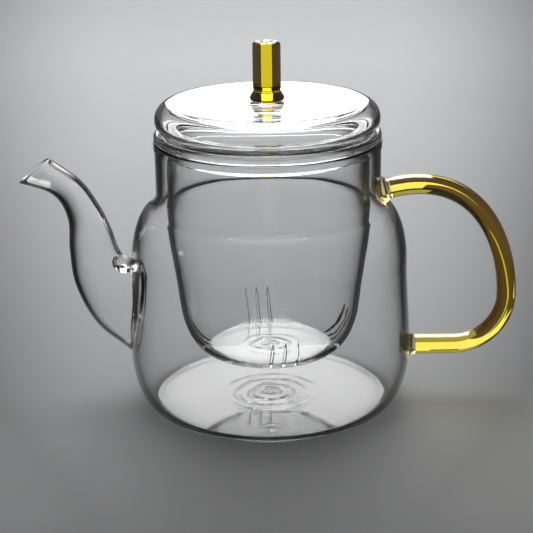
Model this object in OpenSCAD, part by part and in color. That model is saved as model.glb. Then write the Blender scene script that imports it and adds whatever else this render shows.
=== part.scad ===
// Glass teapot: blown pot with fused spout and rod handle, hanging glass infuser and hollow lid with a rod knob.
// Millimetres. Z is up from the table, the spout points to -X and the handle to +X.

/* [Pot] */
// flat ring that stands on the table, radius
foot_r = 42.5; // [40:0.5:49]
// height at which the rounded lower corner ends
corner_h = 22.5; // [12:0.5:24]
// belly radius where the lower corner ends, the widest place
belly_low_r = 53.3; // [51:0.1:60]
// belly radius where the shoulder starts
belly_high_r = 51.9; // [50:0.1:58]
// height at which the shoulder starts
shoulder_z = 57; // [50:0.5:62]
// height that the shoulder rises
shoulder_h = 22; // [18:0.2:26]
// outer radius of the neck
neck_r = 42; // [41:0.1:44]
// how far the shoulder's crown lies outside the neck
crown_offset = 0; // [-2:0.1:1.5]
// share of a quarter turn that the shoulder makes before the crease, degrees
crease_turn = 72; // [60:0.5:86]
// height of the rim above the table
rim_z = 102.5; // [98:0.5:112]
// glass thickness of the pot
pot_wall = 2.3; // [1.6:0.1:2.6]
// how far the fire-polished rim stands proud of the neck
rim_bead = 0.3; // [0.2:0.1:0.8]
// height of the fire-polished rim
rim_bead_h = 2.6; // [2:0.1:4]
// rounding of the rim's edges
rim_round = 0.5; // [0.2:0.1:0.7]

/* [Spout] */
// lowest point of the spout's root on the belly
root_low_z = 20.8; // [20:0.2:24]
// highest point of the spout's root, at the crotch
root_high_z = 55.4; // [50:0.2:56]
// width of the root across the belly
root_w = 28; // [24:0.5:32]
// lower lip of the mouth, distance out from the pot's axis
lip_x = 93; // [88:0.5:100]
// lower lip of the mouth, height
lip_z = 87.3; // [84:0.5:92]
// upper lip of the mouth, distance out from the pot's axis
brow_x = 81.1; // [79:0.5:86]
// upper lip of the mouth, height
brow_z = 96.4; // [94:0.5:100]
// width of the mouth
mouth_w = 12.4; // [10:0.2:15]
// glass thickness of the spout
spout_wall = 1.6; // [1.2:0.1:2.2]
// extra glass melted into the crotch
crotch_bead = 3.6; // [0:0.2:4]
// where the crotch bead is thickest, in sections from the root
bead_at = 1.1; // [0.6:0.1:1.6]
// how far the crotch bead reaches from there, in sections
bead_reach = 1.4; // [1:0.1:1.8]
// diameter of the hole in the pot's wall behind the root
port_d = 19; // [12:0.5:21]
// height of the hole's middle
port_z = 41.5; // [39:0.5:43]
// sections up the spout: low edge out and up, high edge out and up, width
spout_sections = [
    [65.9, 31.6, 53.6, 57.0, 25],
    [73.4, 46.6, 56.6, 60.6, 20.5],
    [75.2, 60.6, 59.0, 68.2, 16],
    [75.3, 73.2, 63.0, 77.4, 13],
    [80.6, 82.8, 69.6, 87.4, 12.2]
];

/* [Handle] */
// rod diameter at the upper end
upper_rod_d = 7.8; // [6.5:0.1:9]
// rod diameter at the lower end
lower_rod_d = 7.8; // [6.5:0.1:9]
// rod diameter at the outer bend, where the hot rod was drawn thinner
rod_bend_d = 7.3; // [5:0.1:8]
// upper end of the rod, distance out from the pot's axis
upper_end_x = 45.6; // [45:0.1:48]
// upper end of the rod, height
upper_end_z = 83.2; // [82:0.2:88]
// slope at which the rod leaves the neck, degrees
upper_slope = 13; // [4:0.2:20]
// length over which the rod keeps that slope before it bends
upper_lead = 34; // [26:0.5:40]
// outermost place of the rod's centre line
handle_reach = 90.1; // [86:0.1:100]
// length over which the rod straightens into the side
side_lead = 21; // [18:0.5:30]
// centre-line radius of the lower bend
lower_bend_r = 20; // [12:0.5:24]
// height of the rod's lower run
lower_end_z = 20.8; // [18:0.1:26]
// length over which the upper weld spreads
upper_weld_l = 2.4; // [1.5:0.1:3]
// how far the lower weld stands out from the belly
lower_weld_l = 2.2; // [1.5:0.1:4]
// diameter of the welds on the pot
weld_d = 11.6; // [10:0.2:14]

/* [Infuser] */
// outer radius of the infuser's straight part
infuser_r = 37.6; // [36:0.1:38.4]
// glass thickness of the infuser
infuser_wall = 1.8; // [1.2:0.1:2.2]
// height of the infuser's underside above the table
infuser_base_z = 20.4; // [14:0.2:24]
// height at which the straight part ends
taper_z = 70; // [66:0.5:76]
// taper of the lower part, degrees
taper = 8; // [3:0.5:10]
// radius of the bend into the taper
taper_bend_r = 57; // [30:1:80]
// width of the rounded lower corner
infuser_corner_w = 13.5; // [10:0.5:18]
// height of the rounded lower corner
infuser_corner_h = 23; // [18:0.5:28]
// radius of the flange that hangs on the rim
flange_r = 42.1; // [41.8:0.1:43.5]
// thickness of the flange
flange_t = 3.5; // [2.8:0.1:5]
// rounding of the flange's edge
flange_round = 1.4; // [0.8:0.1:1.4]
// hollow fillet under the flange
flange_fillet = 1.2; // [0.5:0.1:1.5]
// groups of slits round the lower corner
slit_groups = 4; // [3:1:5]
// slits in each group
slits_per_group = 3; // [1:1:4]
// width of a slit
slit_w = 1; // [0.6:0.1:1.4]
// distance between slits of a group
slit_pitch = 4.6; // [3:0.1:6]
// how far the slits start above the infuser's underside
slit_rise = 2.2; // [2:0.1:5]
// height that the slits cover
slit_h = 11.5; // [6:0.5:16]
// turn of the slit pattern about the axis, degrees
slit_turn = 10; // [0:1:45]

/* [Lid] */
// greatest radius of the lid
lid_r = 41.6; // [40:0.1:43]
// height of the lid from the flange to its top plate
lid_h = 11; // [10.6:0.1:13]
// rounding of the lid's upper edge
lid_top_round = 6.2; // [4:0.1:6.2]
// rounding of the lid's lower edge
lid_low_round = 4.4; // [3:0.1:4.4]
// glass thickness of the lid
lid_wall = 2; // [1.4:0.1:2.4]
// clearance of the lid's skirt in the infuser's mouth
skirt_gap = 0.6; // [0.4:0.1:1.2]
// depth of the skirt below the flange's top
skirt_h = 8.5; // [5:0.5:12]
// fillet between the skirt and the lid's underside, also rounds the infuser's mouth
mouth_round = 0.8; // [0.4:0.1:0.9]

/* [Knob] */
// diameter of the knob's rod
knob_d = 10.3; // [8:0.1:13]
// length of the knob's rod
knob_l = 17.4; // [12:0.2:26]
// rounding of the knob's top edge
knob_round = 1.4; // [0.5:0.1:2]
// diameter of the dimple in the knob's top
dimple_d = 3.4; // [2:0.1:5]
// depth of the dimple
dimple_depth = 0.5; // [0.2:0.1:0.8]
// height of the weld under the knob
knob_weld_h = 4.4; // [3:0.1:7]
// diameter of the weld where it spreads on the lid
knob_weld_d = 12.8; // [11:0.1:16]
// rounding of the weld's foot
knob_foot_round = 1.1; // [0.6:0.1:1.4]
// where that rounding runs into the flare, degrees
knob_foot_turn = 30; // [10:1:50]
// diameter of the weld's waist
knob_waist_d = 9.8; // [7:0.1:10.2]
// length of the waist below the knob
knob_waist_l = 0.5; // [0:0.1:1.5]

/* [Fineness] */
// sides of a round piece
round_sides = 200; // [96:4:240]
// steps in a long curve
curve_steps = 10; // [6:1:16]
// steps in a small rounding
round_steps = 5; // [3:1:8]
// sides of the spout's tube
spout_sides = 32; // [16:4:48]
// rings between two sections of the spout
rings_per_section = 4; // [2:1:6]
// sides of the handle's rod
rod_sides = 24; // [16:4:40]
// rings along the upper sweep of the handle
rod_rings = 26; // [14:2:40]

/* [Hidden] */

$fn = round_sides;
// a cut reaches this far past what it cuts
past = 1;
// fused faces that follow the pot's curve stay this far off it
weld_gap = 0.05;
// how closely the crotch bead keeps to the spout's upper edge
bead_focus = 10;
clear_glass = [0.86, 0.9, 0.9, 0.4];
amber_glass = [0.8, 0.6, 0.05, 0.75];

shoulder_w = belly_high_r - neck_r - crown_offset;
shoulder_c = [neck_r + crown_offset, shoulder_z];
corner_c = [foot_r, corner_h];
crease_p = oval(shoulder_c, shoulder_w, shoulder_h, crease_turn, 0);
crease_n = oval_normal(shoulder_w, shoulder_h, crease_turn);
crease_r = (crease_p[0] - neck_r) / (1 - crease_n[0]);
crease_c = crease_p + crease_r * crease_n;
crease_end = 180 + atan2(crease_n[1], crease_n[0]);

flange_z = rim_z;
flange_top_z = flange_z + flange_t;
mouth_r = infuser_r - infuser_wall;
taper_c = [infuser_r - taper_bend_r, taper_z];
taper_start = taper_c + taper_bend_r * [cos(taper), -sin(taper)];
infuser_turn = atan(tan(taper) * infuser_corner_h / infuser_corner_w);
infuser_corner_top = infuser_base_z + infuser_corner_h * (1 - sin(infuser_turn));
infuser_corner_r = taper_start[0] - tan(taper) * (taper_start[1] - infuser_corner_top);
infuser_c = [
    infuser_corner_r - infuser_corner_w * cos(infuser_turn),
    infuser_base_z + infuser_corner_h
];

skirt_r = mouth_r - skirt_gap;
skirt_z = flange_top_z - skirt_h;
lid_top_z = flange_top_z + lid_h;
knob_z = lid_top_z + knob_weld_h;
knob_top_z = knob_z + knob_l;
lower_end_x = pot_r(lower_end_z) + lower_weld_l;

// Outward direction of an ellipse at an angle of its drawing circle.
function oval_normal(a, b, t) = let(n = [cos(t) / a, sin(t) / b]) n / norm(n);

// Point of an ellipse about c, moved inward by a wall.
function oval(c, a, b, t, inset) = c + [a * cos(t), b * sin(t)] - inset * oval_normal(a, b, t);

// Points of an arc about c.
function arc(c, r, from, to, steps) =
    [for (i = [0:steps]) c + r * [cos(from + (to - from) * i / steps), sin(from + (to - from) * i / steps)]];

// Points in the opposite order.
function back(points) = [for (i = [len(points) - 1:-1:0]) points[i]];

// Smooth curve through a list of rows, at a position counted in rows.
function past_end(rows, i) =
    i < 0 ? 2 * rows[0] - rows[1] :
    i >= len(rows) ? 2 * rows[len(rows) - 1] - rows[len(rows) - 2] : rows[i];
function curve_through(a, b, c, d, u) =
    b + u / 2 * (c - a + u * (2 * a - 5 * b + 4 * c - d + u * (3 * (b - c) + d - a)));
function along(rows, t) =
    let(i = min(floor(t), len(rows) - 2))
    curve_through(past_end(rows, i - 1), rows[i], rows[i + 1], past_end(rows, i + 2), t - i);

// Point of a cubic curve drawn by its two ends and two leads.
function bezier(p, q, r, s, t) =
    p * pow(1 - t, 3) + q * 3 * t * pow(1 - t, 2) + r * 3 * t * t * (1 - t) + s * pow(t, 3);

// Belly radius between the lower corner and the shoulder.
function belly_r(z) =
    belly_low_r + (belly_high_r - belly_low_r) * (1 - cos(180 * (z - corner_h) / (shoulder_z - corner_h))) / 2;

// Outer radius of the pot below the crease.
function pot_r(z) =
    z < corner_h ? foot_r + (belly_low_r - foot_r) * sqrt(1 - pow((corner_h - z) / corner_h, 2)) :
    z > shoulder_z ? shoulder_c[0] + shoulder_w * sqrt(1 - pow((z - shoulder_z) / shoulder_h, 2)) :
    belly_r(z);

// Wall of the pot from the base's edge to the neck, moved inward by a wall.
function pot_side(inset) = concat(
    [for (i = [0:curve_steps])
        oval(corner_c, belly_low_r - foot_r, corner_h, -90 + 90 * i / curve_steps, inset)],
    [for (i = [1:curve_steps - 1])
        let(z = corner_h + (shoulder_z - corner_h) * i / curve_steps)
        [belly_r(z) - inset, z]],
    [for (i = [0:curve_steps])
        oval(shoulder_c, shoulder_w, shoulder_h, crease_turn * i / curve_steps, inset)],
    [for (i = [1:round_steps])
        let(a = crease_end + (180 - crease_end) * i / round_steps)
        crease_c + (crease_r + inset) * [cos(a), sin(a)]]
);

// Wall of the infuser from its underside to the straight part, moved inward by a wall.
function infuser_side(inset) = concat(
    [for (i = [0:curve_steps])
        oval(infuser_c, infuser_corner_w, infuser_corner_h,
             -90 + (90 - infuser_turn) * i / curve_steps, inset)],
    arc(taper_c, taper_bend_r - inset, -taper, 0, round_steps)
);

// Triangles between rings that follow each other, outward when the rings turn clockwise along the way.
function ring_pair(low, high, sides) = [
    for (s = [0:sides - 1])
        let(n = (s + 1) % sides)
        for (triangle = [[low + s, high + s, high + n], [low + s, high + n, low + n]]) triangle
];
function ring_faces(rings, sides) = [
    for (r = [0:rings - 2])
        for (triangle = ring_pair(r * sides, (r + 1) * sides, sides)) triangle
];

// Rows of the spout's outline with its root on the belly and its mouth.
spout_rows = concat(
    [[pot_r(root_low_z), root_low_z, pot_r(root_high_z), root_high_z, root_w]],
    spout_sections,
    [[lip_x, lip_z, brow_x, brow_z, mouth_w]]
);
spout_steps = (len(spout_rows) - 1) * rings_per_section;

// Ring of the spout at a step from the root. The root's ring lies on the belly.
function spout_ring(step, wall) =
    let(row = along(spout_rows, step / rings_per_section))
    let(low = [-row[0], 0, row[1]])
    let(high = [-row[2], 0, row[3]])
    let(half = (high - low) / 2)
    let(fade = max(0, 1 - pow((step / rings_per_section - bead_at) / bead_reach, 2)))
    [for (s = [0:spout_sides - 1])
        let(a = 360 * s / spout_sides)
        let(bead = wall > 0 ? crotch_bead * fade * pow(max(0, cos(a)), bead_focus) : 0)
        let(reach = half * (1 - (wall + bead) / norm(half)))
        let(p = low + half + reach * cos(a) + [0, (row[4] / 2 - wall) * sin(a), 0])
        step > 0 ? p : [-sqrt(pow(pot_r(p[2]) + weld_gap, 2) - p[1] * p[1]), p[1], p[2]]];

// Centre line of the handle, from the neck round to the belly.
upper_end = [upper_end_x, upper_end_z];
lower_bend_c = [handle_reach - lower_bend_r, lower_end_z + lower_bend_r];
side_top = [handle_reach, lower_bend_c[1]];
handle_path = concat(
    [for (i = [0:rod_rings - 1])
        bezier(upper_end, upper_end + upper_lead * [cos(upper_slope), sin(upper_slope)],
               side_top + [0, side_lead], side_top, i / rod_rings)],
    arc(lower_bend_c, lower_bend_r, 0, -90, 2 * round_steps),
    [for (i = [1:round_steps])
        [lower_bend_c[0] + (lower_end_x - lower_bend_c[0]) * i / round_steps, lower_end_z]]
);
handle_last = len(handle_path) - 1;

// Direction of the handle's centre line at a point of its list.
function handle_way(i) =
    i == 0 ? [cos(upper_slope), sin(upper_slope)] :
    i == handle_last ? [-1, 0] :
    let(d = handle_path[i + 1] - handle_path[i - 1]) d / norm(d);

// Ring of the handle's rod round a point of its centre line.
function rod_ring(i) =
    let(way = handle_way(i))
    let(u = 2 * i / handle_last - 1)
    let(end_d = u < 0 ? upper_rod_d : lower_rod_d)
    let(r = (rod_bend_d + (end_d - rod_bend_d) * u * u) / 2)
    [for (s = [0:rod_sides - 1])
        let(a = 360 * s / rod_sides)
        [handle_path[i][0] - way[1] * r * cos(a), r * sin(a), handle_path[i][1] + way[0] * r * cos(a)]];

// Solid inside the pot's outer face.
module pot_outside() {
    rotate_extrude()
        polygon(concat([[0, 0]], pot_side(0), [[neck_r, rim_z], [0, rim_z]]));
}

// Hole behind the spout's root, through the wall.
module port() {
    translate([0, 0, port_z])
        rotate([0, -90, 0])
            cylinder(d = port_d, h = max(belly_low_r, belly_high_r) + past);
}

// Blown pot with a fire-polished rim.
module pot_body() {
    bead_r = neck_r + rim_bead;
    inner_r = neck_r - pot_wall;
    outer = concat(
        pot_side(0),
        [[neck_r, rim_z - rim_bead_h], [bead_r, rim_z - rim_bead_h + rim_bead]],
        arc([bead_r - rim_round, rim_z - rim_round], rim_round, 0, 90, round_steps)
    );
    inner = concat(
        pot_side(pot_wall),
        arc([inner_r + rim_round, rim_z - rim_round], rim_round, 180, 90, round_steps)
    );
    color(clear_glass)
        difference() {
            rotate_extrude()
                polygon(concat([[0, 0]], outer, back(inner), [[0, pot_wall]]));
            port();
        }
}

// Swan-neck spout with a slanting mouth, flared to the belly at its root.
module spout() {
    outside = [for (i = [0:spout_steps]) spout_ring(i, 0)];
    inside = [for (i = [0:spout_steps]) spout_ring(i, spout_wall)];
    rings = concat(outside, back(inside));
    points = [for (ring = rings) for (p = ring) p];
    last = (len(rings) - 1) * spout_sides;
    color(clear_glass)
        polyhedron(
            points = points,
            faces = concat(ring_faces(len(rings), spout_sides), ring_pair(last, 0, spout_sides))
        );
}

// Bent amber rod, thinner at its outer bend.
module handle() {
    points = [for (i = [0:handle_last]) for (p = rod_ring(i)) p];
    start = [for (s = [0:rod_sides - 1]) s];
    end = [for (s = [rod_sides - 1:-1:0]) handle_last * rod_sides + s];
    color(amber_glass)
        polyhedron(
            points = points,
            faces = concat([start], ring_faces(handle_last + 1, rod_sides), [end])
        );
}

// Weld about Z that ends at the origin on a rod and spreads over a length to the pot's wall.
module handle_weld(rod_d, length) {
    flare_r = (weld_d - rod_d) / 2;
    profile = [for (i = [0:curve_steps])
        let(a = 90 * i / curve_steps)
        [rod_d / 2 + flare_r * (1 - cos(a)), -length * sin(a)]];
    rotate_extrude()
        polygon(concat([[0, 0]], profile, [[weld_d / 2, -weld_d], [0, -weld_d]]));
}

// Clear weld between the handle's upper end and the neck.
module upper_handle_weld() {
    color(clear_glass)
        difference() {
            translate([upper_end_x, 0, upper_end_z])
                rotate([0, 90 - upper_slope, 0])
                    handle_weld(upper_rod_d, upper_weld_l);
            pot_outside();
        }
}

// Clear weld between the handle's lower end and the belly.
module lower_handle_weld() {
    color(clear_glass)
        difference() {
            translate([lower_end_x, 0, lower_end_z])
                rotate([0, 90, 0])
                    handle_weld(lower_rod_d, lower_weld_l);
            pot_outside();
        }
}

// Saw slits through the infuser's lower corner.
module slits() {
    reach = infuser_r + past;
    slit_z = infuser_base_z + slit_rise;
    for (g = [0:slit_groups - 1])
        rotate([0, 0, slit_turn + 360 * g / slit_groups])
            for (s = [0:slits_per_group - 1])
                translate([infuser_c[0], slit_pitch * (s - (slits_per_group - 1) / 2) - slit_w / 2, slit_z])
                    cube([reach - infuser_c[0], slit_w, slit_h]);
}

// Deep glass infuser that hangs on the rim by its flange.
module infuser() {
    edge_r = flange_r - flange_round;
    fillet_c = [infuser_r + flange_fillet, flange_z - flange_fillet];
    outer = concat(
        infuser_side(0),
        arc(fillet_c, flange_fillet, 180, 90, round_steps),
        arc([edge_r, flange_z + flange_round], flange_round, -90, 0, round_steps),
        arc([edge_r, flange_top_z - flange_round], flange_round, 0, 90, round_steps)
    );
    inner = concat(
        infuser_side(infuser_wall),
        arc([mouth_r + mouth_round, flange_top_z - mouth_round], mouth_round, 180, 90, round_steps)
    );
    color(clear_glass)
        difference() {
            rotate_extrude()
                polygon(concat(
                    [[0, infuser_base_z]], outer, back(inner), [[0, infuser_base_z + infuser_wall]]
                ));
            slits();
        }
}

// Hollow blown lid whose open skirt drops into the infuser's mouth.
module lid() {
    top_c = [lid_r - lid_top_round, lid_top_z - lid_top_round];
    low_c = [lid_r - lid_low_round, flange_top_z + lid_low_round];
    lip_r = lid_wall / 2;
    lip_c = [skirt_r - lip_r, skirt_z + lip_r];
    inner_r = skirt_r - lid_wall;
    outer = concat(
        arc(top_c, lid_top_round, 90, 0, curve_steps),
        arc(low_c, lid_low_round, 0, -90, curve_steps),
        arc([skirt_r + mouth_round, flange_top_z - mouth_round], mouth_round, 90, 180, round_steps),
        arc(lip_c, lip_r, 0, -180, 2 * round_steps)
    );
    inner = concat(
        arc([inner_r + mouth_round, flange_top_z + lid_wall - mouth_round], mouth_round, 180, 90, round_steps),
        arc(low_c, lid_low_round - lid_wall, -90, 0, round_steps),
        arc(top_c, lid_top_round - lid_wall, 0, 90, round_steps)
    );
    color(clear_glass)
        rotate_extrude()
            polygon(concat([[0, lid_top_z]], outer, inner, [[0, lid_top_z - lid_wall]]));
}

// Amber weld that spreads from the knob onto the lid.
module knob_weld() {
    foot_c = [knob_weld_d / 2 - knob_foot_round, knob_foot_round];
    foot = arc(foot_c, knob_foot_round, -90, knob_foot_turn, round_steps);
    waist = [[knob_waist_d / 2, knob_weld_h - knob_waist_l], [knob_waist_d / 2, knob_weld_h]];
    color(amber_glass)
        translate([0, 0, lid_top_z])
            rotate_extrude()
                polygon(concat([[0, 0]], foot, waist, [[0, knob_weld_h]]));
}

// Amber rod knob with a dimple in its rounded top.
module knob() {
    r = knob_d / 2;
    bowl_r = (pow(dimple_d / 2, 2) + pow(dimple_depth, 2)) / (2 * dimple_depth);
    bowl_turn = asin(dimple_d / 2 / bowl_r);
    bowl_c = [0, knob_top_z - dimple_depth + bowl_r];
    foot_round = (knob_d - knob_waist_d) / 2;
    profile = concat(
        arc(bowl_c, bowl_r, -90, -90 + bowl_turn, round_steps),
        arc([r - knob_round, knob_top_z - knob_round], knob_round, 90, 0, round_steps),
        arc([r - foot_round, knob_z + foot_round], foot_round, 0, -90, round_steps)
    );
    color(amber_glass)
        rotate_extrude()
            polygon(concat(profile, [[0, knob_z]]));
}

pot_body();
spout();
handle();
upper_handle_weld();
lower_handle_weld();
infuser();
lid();
knob_weld();
knob();
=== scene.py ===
from math import asin, atan, atan2, cos, degrees, pi, radians, sin, sqrt, tan

import bpy
from mathutils import Matrix, Vector


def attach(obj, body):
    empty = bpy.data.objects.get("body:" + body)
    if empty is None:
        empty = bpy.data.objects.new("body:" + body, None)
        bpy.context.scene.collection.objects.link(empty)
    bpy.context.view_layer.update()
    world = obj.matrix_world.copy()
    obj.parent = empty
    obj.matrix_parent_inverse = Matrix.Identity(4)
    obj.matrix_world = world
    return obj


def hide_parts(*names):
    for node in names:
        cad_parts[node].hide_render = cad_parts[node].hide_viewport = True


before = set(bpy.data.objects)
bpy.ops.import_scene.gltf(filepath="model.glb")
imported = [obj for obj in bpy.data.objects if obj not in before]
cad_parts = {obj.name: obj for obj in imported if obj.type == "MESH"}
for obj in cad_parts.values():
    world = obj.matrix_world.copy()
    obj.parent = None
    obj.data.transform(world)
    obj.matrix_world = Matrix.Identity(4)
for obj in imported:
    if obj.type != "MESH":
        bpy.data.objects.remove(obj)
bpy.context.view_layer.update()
mm = 0.001
hair = 0.05  # air left between two pieces of glass that touch, mm
smoothTurn = 40  # faces that meet at less than this look round, degrees
print("frame loaded:", len(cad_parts), "nodes")


# drawing helpers, all in millimetres in the plane of radius and height

def arc(cx, cz, r, start, end, steps):
    angles = [radians(start + (end - start) * i / steps) for i in range(steps + 1)]
    return [(cx + r * cos(a), cz + r * sin(a)) for a in angles]


def oval(cx, cz, a, b, turn, inset):
    t = radians(turn)
    n = Vector((cos(t) / a, sin(t) / b)).normalized()
    return (cx + a * cos(t) - inset * n.x, cz + b * sin(t) - inset * n.y)


def ovalArc(cx, cz, a, b, start, end, inset, steps):
    return [oval(cx, cz, a, b, start + (end - start) * i / steps, inset) for i in range(steps + 1)]


def straight(p, q, steps):
    return [(p[0] + (q[0] - p[0]) * i / steps, p[1] + (q[1] - p[1]) * i / steps) for i in range(1, steps)]


# modelling helpers

def deselect():
    if bpy.context.object and bpy.context.object.mode != "OBJECT":
        bpy.ops.object.mode_set(mode="OBJECT")
    bpy.ops.object.select_all(action="DESELECT")


def choose(piece):
    deselect()
    piece.select_set(True)
    bpy.context.view_layer.objects.active = piece


def mendShell():
    bpy.ops.mesh.select_all(action="SELECT")
    bpy.ops.mesh.remove_doubles(threshold=1e-6)
    bpy.ops.mesh.normals_make_consistent(inside=False)


def revolve(name, profile, steps):
    deselect()
    bpy.ops.mesh.primitive_plane_add(size=mm)
    piece = bpy.context.object
    piece.name = piece.data.name = name
    bpy.ops.object.mode_set(mode="EDIT")
    bpy.ops.mesh.select_all(action="SELECT")
    bpy.ops.mesh.merge(type="CENTER")
    bpy.ops.transform.translate(value=(profile[0][0] * mm, 0, profile[0][1] * mm))
    for p, q in zip(profile, profile[1:]):
        step = ((q[0] - p[0]) * mm, 0, (q[1] - p[1]) * mm)
        bpy.ops.mesh.extrude_region_move(TRANSFORM_OT_translate={"value": step})
    bpy.ops.mesh.select_all(action="SELECT")
    bpy.ops.mesh.spin(steps=steps, angle=2 * pi, center=(0, 0, 0), axis=(0, 0, 1))
    mendShell()
    bpy.ops.object.mode_set(mode="OBJECT")
    return piece


def combine(piece, other, operation):
    choose(piece)
    change = piece.modifiers.new("change", "BOOLEAN")
    change.operation = operation
    change.solver = "EXACT"
    change.object = other
    bpy.ops.object.modifier_apply(modifier=change.name)


def polish(piece, turn):
    choose(piece)
    bpy.ops.object.shade_smooth_by_angle(angle=radians(turn))


def putDown(piece, place, turn):
    choose(piece)
    piece.matrix_world = Matrix.Translation(Vector(place) * mm) @ Matrix.Rotation(radians(turn), 4, "Y")
    bpy.ops.object.transform_apply(location=True, rotation=True, scale=True)


def discard(piece):
    bpy.data.objects.remove(piece)


# materials

def addNode(tree, kind, **sockets):
    node = tree.nodes.new(kind)
    for name, value in sockets.items():
        node.inputs[name].default_value = value
    return node


def blownSurfaceGroup():
    group = bpy.data.node_groups.new("blownSurface", "ShaderNodeTree")
    for name, kind, side in (
        ("Vector", "NodeSocketVector", "INPUT"), ("Wave Scale", "NodeSocketFloat", "INPUT"),
        ("Smear Scale", "NodeSocketFloat", "INPUT"), ("Least Rough", "NodeSocketFloat", "INPUT"),
        ("Most Rough", "NodeSocketFloat", "INPUT"), ("Height", "NodeSocketFloat", "OUTPUT"),
        ("Roughness", "NodeSocketFloat", "OUTPUT"),
    ):
        group.interface.new_socket(name=name, in_out=side, socket_type=kind)
    start, end = group.nodes.new("NodeGroupInput"), group.nodes.new("NodeGroupOutput")
    waves = addNode(group, "ShaderNodeTexNoise", Detail=2.0, Roughness=0.4)
    smears = addNode(group, "ShaderNodeTexNoise", Detail=6.0, Roughness=0.6, Distortion=0.8)
    spread = addNode(group, "ShaderNodeMapRange", **{"From Min": 0.4, "From Max": 0.75})
    for a, b in (
        (start.outputs["Vector"], waves.inputs["Vector"]),
        (start.outputs["Wave Scale"], waves.inputs["Scale"]),
        (start.outputs["Vector"], smears.inputs["Vector"]),
        (start.outputs["Smear Scale"], smears.inputs["Scale"]),
        (smears.outputs["Fac"], spread.inputs["Value"]),
        (start.outputs["Least Rough"], spread.inputs["To Min"]),
        (start.outputs["Most Rough"], spread.inputs["To Max"]),
        (waves.outputs["Fac"], end.inputs["Height"]),
        (spread.outputs["Result"], end.inputs["Roughness"]),
    ):
        group.links.new(a, b)
    return group


def pontilGroup():
    group = bpy.data.node_groups.new("pontilRipple", "ShaderNodeTree")
    for name, kind, side in (
        ("Vector", "NodeSocketVector", "INPUT"), ("Radius", "NodeSocketFloat", "INPUT"),
        ("Scale", "NodeSocketFloat", "INPUT"), ("Height", "NodeSocketFloat", "OUTPUT"),
    ):
        group.interface.new_socket(name=name, in_out=side, socket_type=kind)
    start, end = group.nodes.new("NodeGroupInput"), group.nodes.new("NodeGroupOutput")
    flat = addNode(group, "ShaderNodeVectorMath")
    flat.operation = "MULTIPLY"
    flat.inputs[1].default_value = (1, 1, 0)
    out = group.nodes.new("ShaderNodeVectorMath")
    out.operation = "LENGTH"
    fade = addNode(group, "ShaderNodeMapRange", **{"To Min": 1.0, "To Max": 0.0})
    fade.interpolation_type = "SMOOTHSTEP"
    rings = addNode(group, "ShaderNodeTexWave", **{"Distortion": 2.0, "Detail": 3.0, "Detail Scale": 2.2})
    rings.wave_type, rings.rings_direction = "RINGS", "SPHERICAL"
    lift = group.nodes.new("ShaderNodeMath")
    lift.operation = "MULTIPLY"
    for a, b in (
        (start.outputs["Vector"], flat.inputs[0]), (flat.outputs["Vector"], out.inputs[0]),
        (out.outputs["Value"], fade.inputs["Value"]), (start.outputs["Radius"], fade.inputs["From Max"]),
        (flat.outputs["Vector"], rings.inputs["Vector"]), (start.outputs["Scale"], rings.inputs["Scale"]),
        (rings.outputs["Fac"], lift.inputs[0]), (fade.outputs["Result"], lift.inputs[1]),
        (lift.outputs["Value"], end.inputs["Height"]),
    ):
        group.links.new(a, b)
    return group


blownSurface = blownSurfaceGroup()
pontilRipple = pontilGroup()


def glass(name, look):
    material = bpy.data.materials.new(name)
    material.use_nodes = True
    tree = material.node_tree
    shader = tree.nodes["Principled BSDF"]
    shader.inputs["Base Color"].default_value = (*look["tint"], 1)
    shader.inputs["Transmission Weight"].default_value = 1
    shader.inputs["IOR"].default_value = look["ior"]
    place = tree.nodes.new("ShaderNodeTexCoord")
    stretch = addNode(tree, "ShaderNodeMapping", Scale=look["stretch"])
    surface = tree.nodes.new("ShaderNodeGroup")
    surface.node_tree = blownSurface
    for socket, key in (("Wave Scale", "waveScale"), ("Smear Scale", "smearScale"),
                        ("Least Rough", "leastRough"), ("Most Rough", "mostRough")):
        surface.inputs[socket].default_value = look[key]
    bump = addNode(tree, "ShaderNodeBump", Strength=1.0, Distance=look["waveDepth"])
    tree.links.new(place.outputs["Object"], stretch.inputs["Vector"])
    tree.links.new(stretch.outputs["Vector"], surface.inputs["Vector"])
    tree.links.new(surface.outputs["Height"], bump.inputs["Height"])
    tree.links.new(surface.outputs["Roughness"], shader.inputs["Roughness"])
    if look.get("rippleR"):
        ripple = tree.nodes.new("ShaderNodeGroup")
        ripple.node_tree = pontilRipple
        ripple.inputs["Radius"].default_value = look["rippleR"]
        ripple.inputs["Scale"].default_value = look["rippleScale"]
        rings = addNode(tree, "ShaderNodeBump", Strength=1.0, Distance=look["rippleDepth"])
        tree.links.new(place.outputs["Object"], ripple.inputs["Vector"])
        tree.links.new(ripple.outputs["Height"], rings.inputs["Height"])
        tree.links.new(rings.outputs["Normal"], bump.inputs["Normal"])
    tree.links.new(bump.outputs["Normal"], shader.inputs["Normal"])
    passing = addNode(tree, "ShaderNodeBsdfTransparent")
    passing.inputs["Color"].default_value = (*look["shade"], 1)
    rays = tree.nodes.new("ShaderNodeLightPath")
    either = tree.nodes.new("ShaderNodeMixShader")
    tree.links.new(rays.outputs["Is Shadow Ray"], either.inputs["Fac"])
    tree.links.new(shader.outputs["BSDF"], either.inputs[1])
    tree.links.new(passing.outputs["BSDF"], either.inputs[2])
    tree.links.new(either.outputs["Shader"], tree.nodes["Material Output"].inputs["Surface"])
    if look["density"]:
        inside = addNode(tree, "ShaderNodeVolumeAbsorption", Density=look["density"])
        inside.inputs["Color"].default_value = (*look["inside"], 1)
        tree.links.new(inside.outputs["Volume"], tree.nodes["Material Output"].inputs["Volume"])
    return material


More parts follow.
